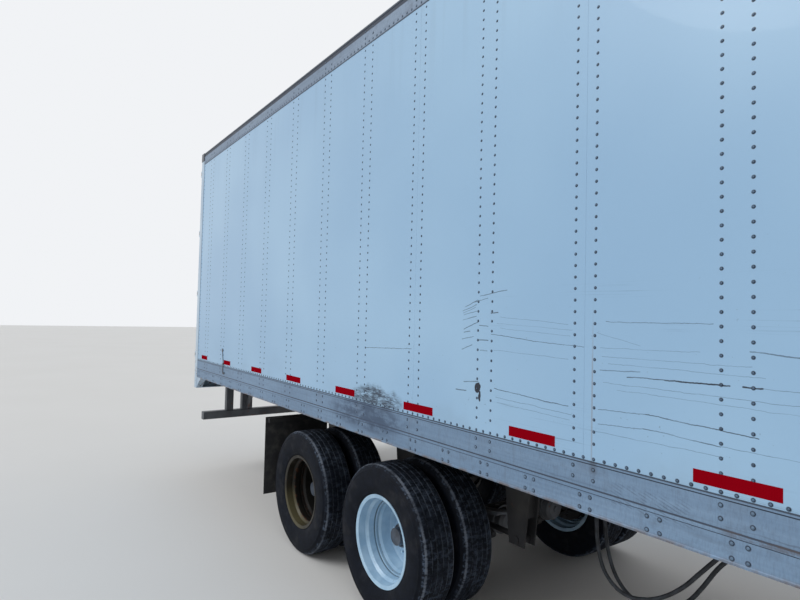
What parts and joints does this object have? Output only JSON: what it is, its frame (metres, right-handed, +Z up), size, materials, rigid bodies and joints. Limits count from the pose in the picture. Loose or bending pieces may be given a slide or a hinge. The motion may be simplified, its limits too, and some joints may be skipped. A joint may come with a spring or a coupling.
{
  "type": "dry van semi trailer",
  "caption": "Enclosed box semi trailer with a riveted sheet body, rear swing doors, sliding tandem axles, kingpin coupler and landing legs.",
  "frame": {"origin": "on the ground, under the middle of the trailer's box", "axes": "+X forward to the nose, +Y to the road side (left), +Z up"},
  "size_m": [16.299, 2.601, 4.115],
  "materials": {
    "wall_white": "white enamel over riveted sheet, worn",
    "rail_grey": "dull mill finish",
    "top_rail_grey": "dull mill finish",
    "frame_white": "white enamel, chipped",
    "underbody_black": "dusty black undercoat",
    "steel_grey": "dusty grey steel",
    "galvanised": "zinc plated",
    "boards": "laminated hardwood, worn",
    "roof": "mill finish",
    "door_white": "white enamel",
    "rubber_black": "matt",
    "tyre": "worn, scuffed shoulders",
    "wheel_white": "white enamel",
    "wheel_rusty": "old enamel, rusty",
    "lamp_red": "clear red lens",
    "lamp_amber": "clear amber lens",
    "hose": "ribbed rubber air hose",
    "tank": "black enamel",
    "steel_pin": "greased forged steel"
  },
  "bodies": {
    "van": {"floor_boards": "boards", "cross_members": "underbody_black", "bottom_rails": "rail_grey", "top_rails": "top_rail_grey", "side_panels": "wall_white", "roof_bows": "galvanised", "roof_sheet": "roof", "front_corner_posts": "frame_white", "front_panels": "wall_white", "front_rails": "rail_grey", "rear_posts": "frame_white", "rear_header": "frame_white", "rear_sill": "frame_white", "rear_guard": "steel_grey", "dock_bumpers": "rubber_black", "rear_lamps": "lamp_red", "marker_lamps_amber": "lamp_amber", "door_holdbacks": "steel_grey", "slide_rails": "underbody_black", "upper_coupler": "underbody_black", "kingpin": "steel_pin", "landing_legs": "steel_grey", "landing_braces": "steel_grey", "landing_drive": "steel_grey", "nose_fittings": "steel_grey", "air_lines": "steel_grey", "hose_service": "hose", "hose_emergency": "hose"},
    "tandem": {"slide_frame": "underbody_black", "spring_hangers": "underbody_black", "leaf_springs": "steel_grey", "equalizers": "underbody_black", "torque_arms": "underbody_black", "axles": "underbody_black", "brake_chambers": "steel_grey", "brake_cams": "underbody_black", "air_tank": "tank", "mud_flaps": "rubber_black"},
    "door_left": {"door_left": "door_white", "door_hardware_left": "galvanised"},
    "door_right": {"door_right": "door_white", "door_hardware_right": "galvanised"},
    "wheel_left_front": {"tyres_left_front": "tyre", "wheel_left_front": "wheel_white"},
    "wheel_left_rear": {"tyres_left_rear": "tyre", "wheel_left_rear": "wheel_rusty"},
    "wheel_right_front": {"tyres_right_front": "tyre", "wheel_right_front": "wheel_white"},
    "wheel_right_rear": {"tyres_right_rear": "tyre", "wheel_right_rear": "wheel_rusty"}
  },
  "joints": [
    {"name": "tandem_slide", "type": "slide", "parent": "van", "child": "tandem", "axis": [1, 0, 0], "range_m": [-1.6764, 0]},
    {"name": "door_left_hinge", "type": "hinge", "parent": "van", "child": "door_left", "pos_m": [-8.1045, 1.2825, 2.675], "axis": [0, 0, -1], "range_deg": [0, 265]},
    {"name": "door_right_hinge", "type": "hinge", "parent": "van", "child": "door_right", "pos_m": [-8.1045, -1.2825, 2.675], "axis": [0, 0, 1], "range_deg": [0, 265]},
    {"name": "wheel_left_front_spin", "type": "hinge", "parent": "tandem", "child": "wheel_left_front", "pos_m": [-3.7815, 0.94, 0.508], "axis": [0, 1, 0], "continuous": true},
    {"name": "wheel_right_front_spin", "type": "hinge", "parent": "tandem", "child": "wheel_right_front", "pos_m": [-3.7815, -0.94, 0.508], "axis": [0, 1, 0], "continuous": true},
    {"name": "wheel_left_rear_spin", "type": "hinge", "parent": "tandem", "child": "wheel_left_rear", "pos_m": [-5.0265, 0.94, 0.508], "axis": [0, 1, 0], "continuous": true},
    {"name": "wheel_right_rear_spin", "type": "hinge", "parent": "tandem", "child": "wheel_right_rear", "pos_m": [-5.0265, -0.94, 0.508], "axis": [0, 1, 0], "continuous": true}
  ]
}
